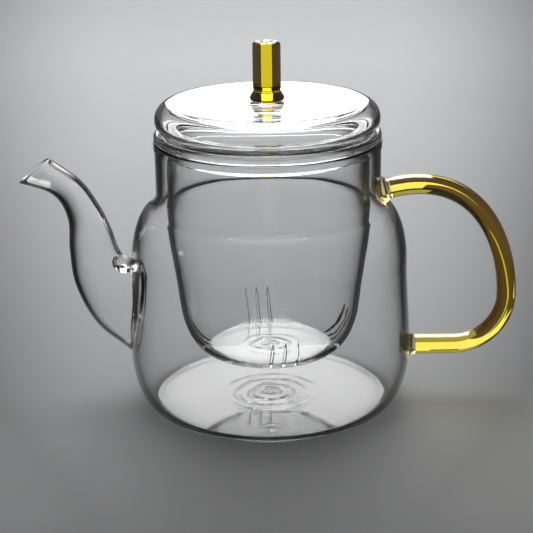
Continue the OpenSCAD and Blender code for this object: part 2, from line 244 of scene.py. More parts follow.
clearLook = {
    "tint": (1, 1, 1), "shade": (0.85, 0.85, 0.85), "ior": 1.47,
    "inside": (0.5, 0.6, 0.55), "density": 4.0,
    "stretch": (1, 1, 0.6), "waveScale": 70.0, "waveDepth": 0.00006,
    "smearScale": 60.0, "leastRough": 0.0, "mostRough": 0.0004,
}
amberLook = {
    "tint": (1, 1, 1), "shade": (0.85, 0.85, 0.85), "ior": 1.49,
    "inside": (0.99, 0.94, 0.3), "density": 420.0,
    "stretch": (1, 1, 1), "waveScale": 120.0, "waveDepth": 0.00004,
    "smearScale": 90.0, "leastRough": 0.015, "mostRough": 0.03,
}
potLook = {**clearLook, "rippleR": 0.028, "rippleScale": 60.0, "rippleDepth": 0.00022}
infuserLook = {**clearLook, "rippleR": 0.016, "rippleScale": 70.0, "rippleDepth": 0.00022}
weldLook = {**clearLook, "inside": (0.97, 0.88, 0.3), "density": 160.0}
knobLook = {**amberLook, "inside": (0.9, 0.85, 0.0), "density": 460.0}
footLook = {**amberLook, "inside": (0.93, 0.85, 0.1), "density": 340.0}
clearGlass = glass("clearGlass", clearLook)
potClear = glass("potClear", potLook)
infuserClear = glass("infuserClear", infuserLook)
weldPale = glass("weldPale", weldLook)
knobAmber = glass("knobAmber", knobLook)
footAmber = glass("footAmber", footLook)
amberGlass = glass("amberGlass", amberLook)


def dress(piece, material, slot, body, *nodes):
    piece.data.materials.clear()
    piece.data.materials.append(material)
    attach(piece, body)
    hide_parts(*nodes)


# pot

pot = {
    "footR": 42.5, "cornerH": 22.5, "bellyLowR": 53.3, "bellyHighR": 51.9, "shoulderZ": 57,
    "shoulderH": 22, "neckR": 42, "creaseTurn": 72, "rimZ": 102.5, "wall": 2.3,
    "rimBead": 0.3, "rimBeadH": 2.6, "rimRound": 0.5, "portD": 19, "portZ": 41.5,
    "drillX": -50, "drillL": 30, "drillSides": 64,
    "curveSteps": 24, "roundSteps": 8, "flatSteps": 6, "turnSteps": 192,
}


def bellyR(z):
    lift = (z - pot["cornerH"]) / (pot["shoulderZ"] - pot["cornerH"])
    return pot["bellyLowR"] + (pot["bellyHighR"] - pot["bellyLowR"]) * (1 - cos(pi * lift)) / 2


def potR(z):
    if z < pot["cornerH"]:
        drop = (pot["cornerH"] - z) / pot["cornerH"]
        return pot["footR"] + (pot["bellyLowR"] - pot["footR"]) * sqrt(1 - drop * drop)
    if z > pot["shoulderZ"]:
        rise = (z - pot["shoulderZ"]) / pot["shoulderH"]
        return pot["neckR"] + (pot["bellyHighR"] - pot["neckR"]) * sqrt(1 - rise * rise)
    return bellyR(z)


def potSide(inset):
    steps = pot["curveSteps"]
    cornerW = pot["bellyLowR"] - pot["footR"]
    shoulderW = pot["bellyHighR"] - pot["neckR"]
    shoulder = (pot["neckR"], pot["shoulderZ"], shoulderW, pot["shoulderH"])
    side = ovalArc(pot["footR"], pot["cornerH"], cornerW, pot["cornerH"], -90, 0, inset, steps)
    for i in range(1, steps):
        z = pot["cornerH"] + (pot["shoulderZ"] - pot["cornerH"]) * i / steps
        side.append((bellyR(z) - inset, z))
    side += ovalArc(*shoulder, 0, pot["creaseTurn"], inset, steps)
    t = radians(pot["creaseTurn"])
    n = Vector((cos(t) / shoulderW, sin(t) / pot["shoulderH"])).normalized()
    px, pz = oval(*shoulder, pot["creaseTurn"], 0)
    r = (px - pot["neckR"]) / (1 - n.x)
    start = 180 + degrees(atan2(n.y, n.x))
    side += arc(px + r * n.x, pz + r * n.y, r + inset, start, 180, pot["roundSteps"])[1:]
    return side


def makePot():
    beadR, innerR = pot["neckR"] + pot["rimBead"], pot["neckR"] - pot["wall"]
    rimZ, rimRound = pot["rimZ"], pot["rimRound"]
    steps, flat = pot["roundSteps"], pot["flatSteps"]
    outer = potSide(0)
    outer += straight(outer[-1], (pot["neckR"], rimZ - pot["rimBeadH"]), flat)
    outer += [(pot["neckR"], rimZ - pot["rimBeadH"]), (beadR, rimZ - pot["rimBeadH"] + pot["rimBead"])]
    outer += arc(beadR - rimRound, rimZ - rimRound, rimRound, 0, 90, steps)
    inner = potSide(pot["wall"])
    inner += straight(inner[-1], (innerR, rimZ - rimRound), flat)
    inner += arc(innerR + rimRound, rimZ - rimRound, rimRound, 180, 90, steps)
    foot = [(0, 0)] + straight((0, 0), outer[0], flat)
    floor = straight(inner[0], (0, pot["wall"]), flat) + [(0, pot["wall"])]
    piece = revolve("pot_body_glass", foot + outer + inner[::-1] + floor, pot["turnSteps"])
    deselect()
    place = (pot["drillX"] * mm, 0, pot["portZ"] * mm)
    bpy.ops.mesh.primitive_cylinder_add(vertices=pot["drillSides"], radius=pot["portD"] / 2 * mm,
                                        depth=pot["drillL"] * mm, location=place, rotation=(0, pi / 2, 0))
    drill = bpy.context.object
    combine(piece, drill, "DIFFERENCE")
    discard(drill)
    polish(piece, smoothTurn)
    return piece


def makePotOutside():
    outer = [(r + hair, z) for r, z in potSide(0)]
    top = (pot["neckR"] + hair, pot["rimZ"])
    return revolve("potOutside", [(0, 0)] + outer + [top, (0, pot["rimZ"])], pot["turnSteps"])


potGlass = makePot()
potOutside = makePotOutside()
print("pot made")


# spout, whose rows are sections: distance and height of the lower edge, the same of the upper edge, width

spout = {
    "rows": (
        (potR(20.8), 20.8, potR(55.4), 55.4, 28),
        (65.9, 31.6, 53.6, 57.0, 25), (73.4, 46.6, 56.6, 60.6, 20.5), (75.2, 60.6, 59.0, 68.2, 16),
        (75.3, 73.2, 63.0, 77.4, 13), (80.6, 82.8, 69.6, 87.4, 12.2), (93, 87.3, 81.1, 96.4, 12.4),
    ),
    "wall": 1.6, "lipRound": 0.7, "lipSteps": 4, "rootReach": 6, "ringsPerRow": 6, "sides": 64,
    "beadAt": (-55.4, 0, 54.9), "beadSize": (8.6, 8.4, 6.8), "beadTurn": 25, "smoothTurn": 50,
}


# a smooth curve through the rows
def rowAt(t):
    rows = [Vector(row) for row in spout["rows"]]
    rows = [2 * rows[0] - rows[1]] + rows + [2 * rows[-1] - rows[-2]]
    i = min(int(t), len(rows) - 4)
    a, b, c, d = rows[i:i + 4]
    u = t - i
    return b + u / 2 * (c - a + u * (2 * a - 5 * b + 4 * c - d + u * (3 * (b - c) + d - a)))


def addSpoutRing(t, wall, shift):
    row = rowAt(t)
    low, high = Vector((-row[0], 0, row[1])), Vector((-row[2], 0, row[3]))
    half = (high - low) / 2
    middle = (low + high) / 2 + Vector((shift, 0, 0))
    bpy.ops.mesh.primitive_circle_add(vertices=spout["sides"], radius=1)
    bpy.ops.transform.resize(value=((half.length - wall) * mm, (row[4] / 2 - wall) * mm, 1),
                             center_override=(0, 0, 0))
    bpy.ops.transform.rotate(value=atan2(half.z, half.x), orient_axis="Y", center_override=(0, 0, 0))
    bpy.ops.transform.translate(value=middle * mm)


def bridgeRings(piece, first, second):
    sides = spout["sides"]
    bpy.ops.mesh.select_all(action="DESELECT")
    bpy.ops.object.mode_set(mode="OBJECT")
    for ring in (first, second):
        for v in range(ring * sides, (ring + 1) * sides):
            piece.data.vertices[v].select = True
    bpy.ops.object.mode_set(mode="EDIT")
    bpy.ops.mesh.bridge_edge_loops()


def roundLip(piece, ring):
    sides = spout["sides"]
    bpy.ops.mesh.select_mode(type="EDGE")
    bpy.ops.mesh.select_all(action="DESELECT")
    bpy.ops.object.mode_set(mode="OBJECT")
    for edge in piece.data.edges:
        first, second = [v // sides for v in edge.vertices]
        edge.select = first == second and first in (ring, ring + 1)
    bpy.ops.object.mode_set(mode="EDIT")
    bpy.ops.mesh.bevel(offset=spout["lipRound"] * mm, segments=spout["lipSteps"], affect="EDGES")
    bpy.ops.mesh.select_mode(type="VERT")


def makeSpout():
    deselect()
    bpy.ops.mesh.primitive_plane_add(size=mm)
    piece = bpy.context.object
    piece.name = piece.data.name = "spout_glass"
    bpy.ops.object.mode_set(mode="EDIT")
    bpy.ops.mesh.select_all(action="SELECT")
    bpy.ops.mesh.delete(type="VERT")
    last = len(spout["rows"]) - 1
    ways = [i / spout["ringsPerRow"] for i in range(last * spout["ringsPerRow"] + 1)]
    for wall, order in ((0, ways), (spout["wall"], ways[::-1])):
        rings = [(t, wall, 0) for t in order]
        root = (0, wall, spout["rootReach"])
        for ring in ([root] + rings if wall == 0 else rings + [root]):
            bpy.ops.mesh.select_all(action="DESELECT")
            addSpoutRing(*ring)
    count = 2 * (len(ways) + 1)
    for ring in range(count):
        bridgeRings(piece, ring, (ring + 1) % count)
    roundLip(piece, len(ways))
    mendShell()
    bpy.ops.object.mode_set(mode="OBJECT")
    deselect()
    sides = spout["sides"]
    bpy.ops.mesh.primitive_uv_sphere_add(segments=sides, ring_count=sides // 2, radius=0.5)
    bead = bpy.context.object
    bead.scale = Vector(spout["beadSize"]) * mm
    bpy.ops.object.transform_apply(location=False, rotation=False, scale=True)
    putDown(bead, spout["beadAt"], spout["beadTurn"])
    combine(piece, bead, "UNION")
    discard(bead)
    combine(piece, potOutside, "DIFFERENCE")
    polish(piece, spout["smoothTurn"])
    return piece


spoutGlass = makeSpout()
print("spout made")


# handle and its welds

handle = {
    "upperD": 7.8, "lowerD": 7.8, "bendD": 7.3, "upperX": 45.6, "upperZ": 83.2, "slope": 13, "lead": 34,
    "reach": 90.1, "sideLead": 21, "lowerR": 20, "lowerZ": 20.8, "weldD": 11.6,
    "upperWeldL": 2.4, "lowerWeldL": 2.2, "roundness": 22, "cuts": 4, "curveSteps": 12,
    "weldSteps": 10, "weldSides": 64,
}
handle["lowerX"] = potR(handle["lowerZ"]) + handle["lowerWeldL"]
kappa = 0.5523  # lead of a curve that stands for a quarter circle


def makeHandle():
    h = handle
    slope = radians(h["slope"])
    way = Vector((cos(slope), 0, sin(slope)))
    upper = Vector((h["upperX"], 0, h["upperZ"])) + way * hair
    side = Vector((h["reach"], 0, h["lowerZ"] + h["lowerR"]))
    bend = Vector((h["reach"] - h["lowerR"], 0, h["lowerZ"]))
    lower = Vector((h["lowerX"] + hair, 0, h["lowerZ"]))
    across, up = Vector((1, 0, 0)), Vector((0, 0, 1))
    arm = kappa * h["lowerR"]
    run = (bend - lower).length / 3
    deselect()
    bpy.ops.curve.primitive_bezier_curve_add()
    rod = bpy.context.object
    rod.name = "handle_glass"
    knots = (
        (upper, upper - way * run, upper + way * h["lead"]),
        (side, side + up * h["sideLead"], side - up * arm),
        (bend, bend + across * arm, bend - across * run),
        (lower, lower + across * run, lower - across * run),
    )
    spline = rod.data.splines[0]
    spline.bezier_points.add(len(knots) - len(spline.bezier_points))
    for knot, (at, left, right) in zip(spline.bezier_points, knots):
        knot.handle_left_type = knot.handle_right_type = "FREE"
        knot.co, knot.handle_left, knot.handle_right = at * mm, left * mm, right * mm
    bpy.ops.object.mode_set(mode="EDIT")
    bpy.ops.curve.select_all(action="SELECT")
    bpy.ops.curve.subdivide(number_cuts=h["cuts"])
    bpy.ops.object.mode_set(mode="OBJECT")
    spline = rod.data.splines[0]
    spline.radius_interpolation = "CARDINAL"
    points = spline.bezier_points
    spans = [(b.co - a.co).length for a, b in zip(points, points[1:])]
    for i, knot in enumerate(points):
        u = 2 * sum(spans[:i]) / sum(spans) - 1
        end = h["upperD"] if u < 0 else h["lowerD"]
        knot.radius = (h["bendD"] + (end - h["bendD"]) * u * u) / 2
    rod.data.bevel_depth = mm
    rod.data.bevel_resolution = h["roundness"]
    rod.data.resolution_u = h["curveSteps"]
    rod.data.use_fill_caps = True
    bpy.ops.object.convert(target="MESH")
    rod = bpy.context.object
    bpy.ops.object.mode_set(mode="EDIT")
    mendShell()
    bpy.ops.object.mode_set(mode="OBJECT")
    polish(rod, smoothTurn)
    return rod


def makeHandleWeld(name, rodD, length, place, turn):
    steps = handle["weldSteps"]
    flare = (handle["weldD"] - rodD) / 2
    weld = [(0, 0), (rodD / 4, 0)]
    for i in range(steps + 1):
        a = radians(90 * i / steps)
        weld.append((rodD / 2 + flare * (1 - cos(a)), -length * sin(a)))
    weld += [(handle["weldD"] / 2, -handle["weldD"]), (0, -handle["weldD"])]
    piece = revolve(name, weld, handle["weldSides"])
    putDown(piece, place, turn)
    combine(piece, potOutside, "DIFFERENCE")
    polish(piece, smoothTurn)
    return piece


handleGlass = makeHandle()
upperWeld = makeHandleWeld("upper_handle_weld_glass", handle["upperD"], handle["upperWeldL"],
                           (handle["upperX"], 0, handle["upperZ"]), 90 - handle["slope"])
lowerWeld = makeHandleWeld("lower_handle_weld_glass", handle["lowerD"], handle["lowerWeldL"],
                           (handle["lowerX"], 0, handle["lowerZ"]), 90)
discard(potOutside)
print("handle made")


# infuser

infuser = {
    "r": 37.6, "wall": 1.8, "baseZ": 20.4, "taperZ": 70, "taper": 8, "taperBendR": 57, "cornerW": 13.5,
    "cornerH": 23, "flangeR": 42.1, "flangeT": 3.5, "flangeRound": 1.4, "flangeFillet": 1.2,
    "mouthRound": 0.8, "slitGroups": 4, "slitsPerGroup": 3, "slitW": 1, "slitPitch": 4.6,
    "slitRise": 2.2, "slitH": 11.5, "slitTip": 4, "slitTipShare": 0.1, "slitTurn": 10, "sawOver": 1,
    "cornerSteps": 30, "bendSteps": 8, "roundSteps": 6, "flatSteps": 6, "baseSteps": 4, "turnSteps": 192,
}
flangeZ = pot["rimZ"]
flangeTop = flangeZ + infuser["flangeT"]


def infuserCorner():
    k = infuser
    t = radians(k["taper"])
    turn = atan(tan(t) * k["cornerH"] / k["cornerW"])
    startR = k["r"] - k["taperBendR"] * (1 - cos(t))
    startZ = k["taperZ"] - k["taperBendR"] * sin(t)
    topZ = k["baseZ"] + k["cornerH"] * (1 - sin(turn))
    cornerR = startR - tan(t) * (startZ - topZ)
    return cornerR - k["cornerW"] * cos(turn), k["baseZ"] + k["cornerH"], degrees(turn)


def infuserSide(inset):
    k = infuser
    cx, cz, turn = infuserCorner()
    side = ovalArc(cx, cz, k["cornerW"], k["cornerH"], -90, -turn, inset, k["cornerSteps"])
    bendX, bendR = k["r"] - k["taperBendR"], k["taperBendR"] - inset
    bend = arc(bendX, k["taperZ"], bendR, -k["taper"], 0, k["bendSteps"])
    return side + straight(side[-1], bend[0], k["flatSteps"]) + bend


def makeSaw():
    k = infuser
    cx = infuserCorner()[0]
    reach = k["r"] + k["sawOver"] - cx
    plain = k["slitH"] - k["slitTip"]
    rise = k["baseZ"] + k["slitRise"] + plain / 2
    deselect()
    bpy.ops.mesh.primitive_cube_add(size=mm)
    saw = bpy.context.object
    bpy.ops.object.mode_set(mode="EDIT")
    bpy.ops.mesh.select_all(action="SELECT")
    bpy.ops.transform.resize(value=(reach, k["slitW"], plain), center_override=(0, 0, 0))
    bpy.ops.transform.translate(value=((cx + reach / 2) * mm, 0, rise * mm))
    bpy.ops.mesh.select_mode(type="FACE")
    bpy.ops.mesh.select_all(action="DESELECT")
    bpy.ops.object.mode_set(mode="OBJECT")
    for face in saw.data.polygons:
        face.select = face.normal.z > 0.5
    bpy.ops.object.mode_set(mode="EDIT")
    bpy.ops.mesh.extrude_region_move(TRANSFORM_OT_translate={"value": (0, 0, k["slitTip"] * mm)})
    bpy.ops.transform.resize(value=(1, k["slitTipShare"], 1), center_override=(0, 0, 0))
    bpy.ops.mesh.select_mode(type="VERT")
    bpy.ops.object.mode_set(mode="OBJECT")
    return saw


def makeSlits():
    k = infuser
    saw = makeSaw()
    blades = []
    for group in range(k["slitGroups"]):
        for slit in range(k["slitsPerGroup"]):
            blade = saw.copy()
            blade.data = saw.data.copy()
            bpy.context.collection.objects.link(blade)
            offset = k["slitPitch"] * (slit - (k["slitsPerGroup"] - 1) / 2)
            turn = radians(k["slitTurn"] + 360 * group / k["slitGroups"])
            blade.matrix_world = Matrix.Rotation(turn, 4, "Z") @ Matrix.Translation((0, offset * mm, 0))
            blades.append(blade)
    choose(saw)
    bpy.ops.object.delete()
    deselect()
    for blade in blades:
        blade.select_set(True)
    bpy.context.view_layer.objects.active = blades[0]
    bpy.ops.object.join()
    bpy.ops.object.transform_apply(location=True, rotation=True, scale=True)
    return bpy.context.object


def makeInfuser():
    k = infuser
    edge, mouth, seat = k["flangeR"] - k["flangeRound"], k["r"] - k["wall"], flangeZ + hair
    filletR, edgeR, lipR = k["flangeFillet"], k["flangeRound"], k["mouthRound"]
    outer = infuserSide(0)
    fillet = arc(k["r"] + filletR, seat - filletR, filletR, 180, 90, k["roundSteps"])
    outer += straight(outer[-1], fillet[0], k["flatSteps"]) + fillet
    outer += arc(edge, seat + edgeR, edgeR, -90, 0, k["bendSteps"])
    outer += arc(edge, flangeTop - edgeR, edgeR, 0, 90, k["bendSteps"])
    inner = infuserSide(k["wall"])
    lip = arc(mouth + lipR, flangeTop - lipR, lipR, 180, 90, k["roundSteps"])
    inner += straight(inner[-1], lip[0], k["flatSteps"]) + lip
    base, floor = (0, k["baseZ"]), (0, k["baseZ"] + k["wall"])
    profile = [base] + straight(base, outer[0], k["baseSteps"]) + outer
    profile += inner[::-1] + straight(inner[0], floor, k["baseSteps"]) + [floor]
    piece = revolve("infuser_glass", profile, k["turnSteps"])
    slits = makeSlits()
    combine(piece, slits, "DIFFERENCE")
    discard(slits)
    polish(piece, smoothTurn)
    return piece


infuserGlass = makeInfuser()
print("infuser made")


# lid, knob and its weld

lid = {
    "r": 41.6, "h": 11, "topRound": 6.2, "lowRound": 4.4, "wall": 2,
    "skirtGap": 0.6, "skirtH": 8.5, "mouthRound": 0.8,
    "flatSteps": 8, "topSteps": 16, "lowSteps": 14, "mouthSteps": 6, "lipSteps": 12,
    "lowInnerSteps": 10, "topInnerSteps": 12, "turnSteps": 192,
}
knob = {
    "d": 10.3, "l": 17.4, "round": 1.4, "dimpleD": 3.4, "dimpleDepth": 0.5,
    "weldH": 4.4, "weldD": 12.8, "footRound": 1.1, "footTurn": 30, "waistD": 9.8, "waistL": 0.5,
    "dimpleSteps": 8, "roundSteps": 10, "flatSteps": 6, "waistSteps": 4, "turnSteps": 96,
}
lidTop = flangeTop + lid["h"]


def makeLid():
    k = lid
    topC = (k["r"] - k["topRound"], lidTop - k["topRound"])
    lowC = (k["r"] - k["lowRound"], flangeTop + hair + k["lowRound"])
    skirtR = infuser["r"] - infuser["wall"] - k["skirtGap"]
    innerR, lipR = skirtR - k["wall"], k["wall"] / 2
    m, low, under = k["mouthRound"], flangeTop + hair, lidTop - k["wall"]
    profile = [(0, lidTop)] + straight((0, lidTop), (topC[0], lidTop), k["flatSteps"])
    profile += arc(*topC, k["topRound"], 90, 0, k["topSteps"])
    profile += arc(*lowC, k["lowRound"], 0, -90, k["lowSteps"])
    profile += arc(skirtR + m, low - m, m, 90, 180, k["mouthSteps"])
    profile += arc(skirtR - lipR, flangeTop - k["skirtH"] + lipR, lipR, 0, -180, k["lipSteps"])
    profile += arc(innerR + m, low + k["wall"] - m, m, 180, 90, k["mouthSteps"])
    profile += arc(*lowC, k["lowRound"] - k["wall"], -90, 0, k["lowInnerSteps"])
    profile += arc(*topC, k["topRound"] - k["wall"], 0, 90, k["topInnerSteps"])
    profile += straight((topC[0], under), (0, under), k["flatSteps"]) + [(0, under)]
    piece = revolve("lid_glass", profile, k["turnSteps"])
    polish(piece, smoothTurn)
    return piece


def makeKnobWeld():
    k = knob
    foot, top = lidTop + hair, lidTop + k["weldH"]
    waist = (k["waistD"] / 2, top - k["waistL"])
    edge = (k["weldD"] / 2 - k["footRound"], foot + k["footRound"])
    profile = [(0, foot), (k["weldD"] / 4, foot)]
    profile += arc(*edge, k["footRound"], -90, k["footTurn"], k["roundSteps"])
    profile += straight(profile[-1], waist, k["waistSteps"])
    profile += [waist, (k["waistD"] / 2, top), (k["waistD"] / 4, top), (0, top)]
    piece = revolve("knob_weld_glass", profile, k["turnSteps"])
    polish(piece, smoothTurn)
    return piece


def makeKnob():
    k = knob
    r, foot, top = k["d"] / 2, lidTop + k["weldH"] + hair, lidTop + k["weldH"] + k["l"]
    bowlR = ((k["dimpleD"] / 2) ** 2 + k["dimpleDepth"] ** 2) / (2 * k["dimpleDepth"])
    bowlTurn = degrees(asin(k["dimpleD"] / 2 / bowlR))
    footRound = (k["d"] - k["waistD"]) / 2
    profile = arc(0, top - k["dimpleDepth"] + bowlR, bowlR, -90, -90 + bowlTurn, k["dimpleSteps"])
    profile += arc(r - k["round"], top - k["round"], k["round"], 90, 0, k["roundSteps"])
    profile += straight(profile[-1], (r, foot + footRound), k["flatSteps"])
    profile += arc(r - footRound, foot + footRound, footRound, 0, -90, k["flatSteps"])
    profile += [(r / 2, foot), (0, foot)]
    piece = revolve("knob_glass", profile, k["turnSteps"])
    polish(piece, smoothTurn)
    return piece


lidGlass = makeLid()
knobWeld = makeKnobWeld()
knobGlass = makeKnob()
print("lid and knob made")

dress(potGlass, potClear, "clear_glass", "pot", "pot_body")
dress(spoutGlass, clearGlass, "clear_glass", "pot", "spout")
dress(handleGlass, amberGlass, "amber_glass", "pot", "handle")
dress(upperWeld, weldPale, "clear_glass", "pot", "upper_handle_weld")
dress(lowerWeld, weldPale, "clear_glass", "pot", "lower_handle_weld")
dress(infuserGlass, infuserClear, "clear_glass", "infuser", "infuser")
dress(lidGlass, clearGlass, "clear_glass", "lid", "lid")
dress(knobWeld, footAmber, "amber_glass", "lid", "knob_weld")
dress(knobGlass, knobAmber, "amber_glass", "lid", "knob")


# floor, light and camera, in metres

lens = {
    "focal": 105.84, "sensor": 36, "place": (0, -0.5646, 0.2374), "aim": (0, 0, 0.0529), "roll": -0.8,
    "shiftPixels": -2.9, "picturePixels": 533, "clip": (0.01, 50),
}
# the ramp darkens the floor towards the front and the field turns darken its sides, as painted light and
# shade; the wall level is painted shade inside the glass walls, the rod colour is painted brown shade in
# the rods, the rod sheen is a painted sheen, and the surround is a painted glow
stage = {
    "floorZ": -0.0004, "floorSize": 8.0, "floorRough": 0.5, "floorGloss": 0.02,
    "depth": (-0.15, 1.0), "paperTint": (1, 1.01, 1.03),
    "ramp": ((0.037, 0.44), (0.095, 0.60), (0.278, 0.70), (0.499, 0.76), (0.743, 0.75), (0.981, 0.65)),
    "aheadLeast": 0.3, "fieldShift": 0.01,
    "seenTurn": (0.085, 0.3), "seenLeast": 0.5, "front": (-0.1, 0.15), "frontLeast": 0.95,
    "litTurn": (0.1, 0.22), "litMost": 1.06, "litLeast": 0.08, "wallDark": 0.1,
    "fewBounces": 2.5, "rodPaintedShade": (0.115, 0.067, 0.04), "rodPaintedSheen": 1.2, "cardLight": 1.1,
    "surround": (0.25, 0.65), "surroundFront": 0.1, "surroundBack": 0.8, "surroundLight": 0.3,
    "skyLight": 0.02, "skyMirrored": 0.25, "skyColour": (1, 0.97, 1),
}


def sums(tree):
    def math(operation, *values):
        node = tree.nodes.new("ShaderNodeMath")
        node.operation = operation
        for socket, value in zip(node.inputs, values):
            if isinstance(value, (int, float)):
                socket.default_value = value
            else:
                tree.links.new(value, socket)
        return node.outputs["Value"]
    return math


def ranged(tree, value, span, ends, ease):
    node = addNode(tree, "ShaderNodeMapRange", **{"To Min": ends[0], "To Max": ends[1]})
    node.inputs["From Min"].default_value, node.inputs["From Max"].default_value = span
    node.interpolation_type = ease
    tree.links.new(value, node.inputs["Value"])
    return node.outputs["Result"]


def aimed(place, aim):
    return (Vector(aim) - Vector(place)).to_track_quat("-Z", "Y")


# amber glass is a little rough and clear glass is smooth, so a ray tells which one it left
def roughRay(rays, math):
    return math("SUBTRACT", 1, rays.outputs["Is Singular Ray"])


# rays that went once through amber glass
def behindRod(rays, math):
    few = math("LESS_THAN", rays.outputs["Ray Depth"], stage["fewBounces"])
    once = math("MULTIPLY", rays.outputs["Is Transmission Ray"], few)
    return math("MULTIPLY", once, roughRay(rays, math))


# rays that were mirrored somewhere on their way
def turnedRay(rays, math):
    mirrors = math("SUBTRACT", rays.outputs["Ray Depth"], rays.outputs["Transmission Depth"])
    return math("GREATER_THAN", mirrors, 0.5)


# rays from the camera, bare or through clear walls that didn't mirror them
def straightOn(rays, math):
    through = math("SUBTRACT", rays.outputs["Is Transmission Ray"], behindRod(rays, math))
    direct = math("SUBTRACT", 1, turnedRay(rays, math))
    return math("MAXIMUM", rays.outputs["Is Camera Ray"], math("MULTIPLY", through, direct))


# rays that a surface has just mirrored
def mirrorRay(rays, math):
    outside = math("SUBTRACT", 1, rays.outputs["Is Transmission Ray"])
    return math("MULTIPLY", rays.outputs["Is Glossy Ray"], outside)


def stagePlane(name, material, place, turn, size):
    deselect()
    bpy.ops.mesh.primitive_plane_add(size=1, location=place, rotation=turn)
    plane = bpy.context.object
    plane.name = name
    plane.scale = (*size, 1)
    bpy.ops.object.transform_apply(location=True, rotation=True, scale=True)
    plane.data.materials.append(material)
    return plane


# a card glows only for rays that came once through a rod: a painted highlight in the amber
def makeCard(name, card):
    material = bpy.data.materials.new(name)
    material.use_nodes = True
    tree = material.node_tree
    tree.nodes.remove(tree.nodes["Principled BSDF"])
    glow = addNode(tree, "ShaderNodeEmission", Strength=stage["cardLight"])
    clear = tree.nodes.new("ShaderNodeBsdfTransparent")
    either = tree.nodes.new("ShaderNodeMixShader")
    rays = tree.nodes.new("ShaderNodeLightPath")
    tree.links.new(behindRod(rays, sums(tree)), either.inputs["Fac"])
    tree.links.new(clear.outputs["BSDF"], either.inputs[1])
    tree.links.new(glow.outputs["Emission"], either.inputs[2])
    tree.links.new(either.outputs["Shader"], tree.nodes["Material Output"].inputs["Surface"])
    middle = (sum(card["x"]) / 2, card["y"], sum(card["z"]) / 2)
    size = (card["x"][1] - card["x"][0], card["z"][1] - card["z"][0])
    plane = stagePlane(name, material, middle, (pi / 2, 0, 0), size)
    plane.visible_camera = plane.visible_diffuse = plane.visible_glossy = plane.visible_shadow = False


# a strip on the floor whose glow is a painted highlight seen only through the rods
def onStrip(math, axes, strip):
    across = math("MULTIPLY_ADD", axes.outputs["Y"], -strip["lean"], axes.outputs["X"])
    inX = math("COMPARE", across, sum(strip["x"]) / 2, (strip["x"][1] - strip["x"][0]) / 2)
    inY = math("COMPARE", axes.outputs["Y"], sum(strip["y"]) / 2, (strip["y"][1] - strip["y"][0]) / 2)
    return math("MULTIPLY", math("MULTIPLY", inX, inY), strip["level"])


# painted light and shade on the floor: bright in the middle of the field and painted dark at its sides,
# which the edges of the glass show
def paintedLightField(tree, math, axes):
    ahead = math("MAXIMUM", math("ADD", axes.outputs["Y"], -lens["place"][1]), stage["aheadLeast"])
    aside = math("ADD", math("DIVIDE", axes.outputs["X"], ahead), stage["fieldShift"])
    aside = math("ABSOLUTE", aside)
    seen = ranged(tree, aside, stage["seenTurn"], (1, 0), "SMOOTHSTEP")
    lit = ranged(tree, aside, stage["litTurn"], (stage["litMost"], stage["litLeast"]), "SMOOTHSTEP")
    front = ranged(tree, axes.outputs["Y"], stage["front"], (stage["frontLeast"], 0), "LINEAR")
    seen = math("MAXIMUM", seen, math("MAXIMUM", front, stage["seenLeast"]))
    return seen, lit


# painted shade: camera rays see the broad field, other rays see the narrower lit one, and rays mirrored
# inside a glass wall see the floor darker still
def paintedLightLevel(math, rays, seen, lit):
    bright = math("MULTIPLY_ADD", rays.outputs["Is Camera Ray"], math("SUBTRACT", seen, lit), lit)
    inWall = math("MULTIPLY", rays.outputs["Is Transmission Ray"], turnedRay(rays, math))
    return math("MULTIPLY", bright, math("MULTIPLY_ADD", inWall, stage["wallDark"] - 1, 1))


# the floor's emission, though it is no lamp: painted highlights from strips seen through the rods, a
# painted glow far off, and a painted sheen in the rough amber
def paintedGlow(tree, math, axes, rays, lit):
    strips = math("ADD", onStrip(math, axes, farStrip), onStrip(math, axes, nearStrip))
    strips = math("MAXIMUM", strips, onStrip(math, axes, bendStrip))
    # painted glow: far from the middle the floor glows for straight-on rays, a bright surround that is no
    # lamp
    farOff = math("MAXIMUM", math("ABSOLUTE", axes.outputs["X"]),
                  math("SUBTRACT", stage["surroundFront"], axes.outputs["Y"]))
    farOff = math("MAXIMUM", farOff, math("SUBTRACT", axes.outputs["Y"], stage["surroundBack"]))
    surround = ranged(tree, farOff, stage["surround"], (0, stage["surroundLight"]), "SMOOTHSTEP")
    light = math("MULTIPLY", surround, straightOn(rays, math))
    light = math("MULTIPLY_ADD", strips, behindRod(rays, math), light)
    # painted sheen: mirrors on the rough amber see the floor outside the lit field glow
    dark = math("MAXIMUM", math("SUBTRACT", 1, lit), 0)
    paintedSheen = math("MULTIPLY", math("MULTIPLY", dark, surround), stage["rodPaintedSheen"])
    paintedSheen = math("MULTIPLY", paintedSheen, mirrorRay(rays, math))
    return math("MULTIPLY_ADD", paintedSheen, roughRay(rays, math), light)


